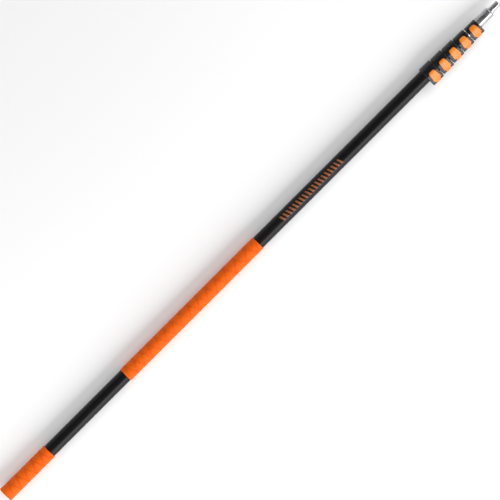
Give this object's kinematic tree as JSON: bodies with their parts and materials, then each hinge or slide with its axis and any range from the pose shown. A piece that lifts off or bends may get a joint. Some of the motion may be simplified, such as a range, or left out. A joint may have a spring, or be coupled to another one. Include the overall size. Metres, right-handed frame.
{
  "type": "telescopic extension pole",
  "caption": "Collapsed telescopic pole of nested round tubes with flip-lever locking collars, two soft grips and a male threaded metal tip for a tool.",
  "frame": {"origin": "centre of the flat butt end", "axes": "+X along the pole from butt to tip; +Z out of the levers' side of the collars; hinge pins on the -Y side"},
  "size_m": [1.864, 0.0606, 0.0518],
  "materials": {
    "grip": "textured",
    "plastic": "matte",
    "tip_metal": "polished",
    "black_tube": "satin black",
    "bright_tube": "satin",
    "collar": "gloss",
    "lever": "satin",
    "pin_steel": "plain"
  },
  "bodies": {
    "section_1": {"tube_1": "black_tube", "end_plug": "plastic", "end_grip": "grip", "main_grip": "grip", "collar_1": "collar", "lever_pin_1": "pin_steel"},
    "section_2": {"tube_2": "black_tube", "guide_bush_2": "plastic", "stop_ring_2": "plastic", "collar_2": "collar", "lever_pin_2": "pin_steel"},
    "section_3": {"tube_3": "black_tube", "guide_bush_3": "plastic", "stop_ring_3": "plastic", "collar_3": "collar", "lever_pin_3": "pin_steel"},
    "section_4": {"tube_4": "black_tube", "guide_bush_4": "plastic", "stop_ring_4": "plastic", "collar_4": "collar", "lever_pin_4": "pin_steel"},
    "section_5": {"tube_5": "bright_tube", "guide_bush_5": "plastic", "stop_ring_5": "plastic", "collar_5": "collar", "lever_pin_5": "pin_steel"},
    "section_6": {"tube_6": "bright_tube", "guide_bush_6": "plastic", "stop_ring_6": "plastic", "threaded_tip": "tip_metal"},
    "lever_1": {"lever_1": "lever"},
    "brake_shoe_1": {"brake_shoe_1": "plastic"},
    "lever_2": {"lever_2": "lever"},
    "brake_shoe_2": {"brake_shoe_2": "plastic"},
    "lever_3": {"lever_3": "lever"},
    "brake_shoe_3": {"brake_shoe_3": "plastic"},
    "lever_4": {"lever_4": "lever"},
    "brake_shoe_4": {"brake_shoe_4": "plastic"},
    "lever_5": {"lever_5": "lever"},
    "brake_shoe_5": {"brake_shoe_5": "plastic"}
  },
  "joints": [
    {"name": "section_2_slide", "type": "slide", "parent": "section_1", "child": "section_2", "axis": [1, 0, 0], "range_m": [0, 1.3798]},
    {"name": "section_3_slide", "type": "slide", "parent": "section_2", "child": "section_3", "axis": [1, 0, 0], "range_m": [0, 1.4172]},
    {"name": "section_4_slide", "type": "slide", "parent": "section_3", "child": "section_4", "axis": [1, 0, 0], "range_m": [0, 1.4546]},
    {"name": "section_5_slide", "type": "slide", "parent": "section_4", "child": "section_5", "axis": [1, 0, 0], "range_m": [0, 1.492]},
    {"name": "section_6_slide", "type": "slide", "parent": "section_5", "child": "section_6", "axis": [1, 0, 0], "range_m": [0, 1.5294]},
    {"name": "lever_1_flip", "type": "hinge", "parent": "section_1", "child": "lever_1", "pos_m": [1.6053, -0.0292, 0.00555], "axis": [1, 0, 0], "range_deg": [0, 110]},
    {"name": "brake_shoe_1_press", "type": "slide", "parent": "section_1", "child": "brake_shoe_1", "axis": [0, -1, 0], "range_m": [0, 0.0006]},
    {"name": "lever_2_flip", "type": "hinge", "parent": "section_2", "child": "lever_2", "pos_m": [1.6457, -0.0272, 0.00432], "axis": [1, 0, 0], "range_deg": [0, 110]},
    {"name": "brake_shoe_2_press", "type": "slide", "parent": "section_2", "child": "brake_shoe_2", "axis": [0, -1, 0], "range_m": [0, 0.0006]},
    {"name": "lever_3_flip", "type": "hinge", "parent": "section_3", "child": "lever_3", "pos_m": [1.6861, -0.0252, 0.0031], "axis": [1, 0, 0], "range_deg": [0, 110]},
    {"name": "brake_shoe_3_press", "type": "slide", "parent": "section_3", "child": "brake_shoe_3", "axis": [0, -1, 0], "range_m": [0, 0.0006]},
    {"name": "lever_4_flip", "type": "hinge", "parent": "section_4", "child": "lever_4", "pos_m": [1.7265, -0.0232, 0.00187], "axis": [1, 0, 0], "range_deg": [0, 110]},
    {"name": "brake_shoe_4_press", "type": "slide", "parent": "section_4", "child": "brake_shoe_4", "axis": [0, -1, 0], "range_m": [0, 0.0006]},
    {"name": "lever_5_flip", "type": "hinge", "parent": "section_5", "child": "lever_5", "pos_m": [1.7669, -0.0212, 0.00065], "axis": [1, 0, 0], "range_deg": [0, 110]},
    {"name": "brake_shoe_5_press", "type": "slide", "parent": "section_5", "child": "brake_shoe_5", "axis": [0, -1, 0], "range_m": [0, 0.0006]}
  ],
  "couplings": [
    {"joint": "brake_shoe_1_press", "follows": "lever_1_flip", "m_per_rad": 0.000312},
    {"joint": "brake_shoe_2_press", "follows": "lever_2_flip", "m_per_rad": 0.000312},
    {"joint": "brake_shoe_3_press", "follows": "lever_3_flip", "m_per_rad": 0.000312},
    {"joint": "brake_shoe_4_press", "follows": "lever_4_flip", "m_per_rad": 0.000312},
    {"joint": "brake_shoe_5_press", "follows": "lever_5_flip", "m_per_rad": 0.000312}
  ]
}
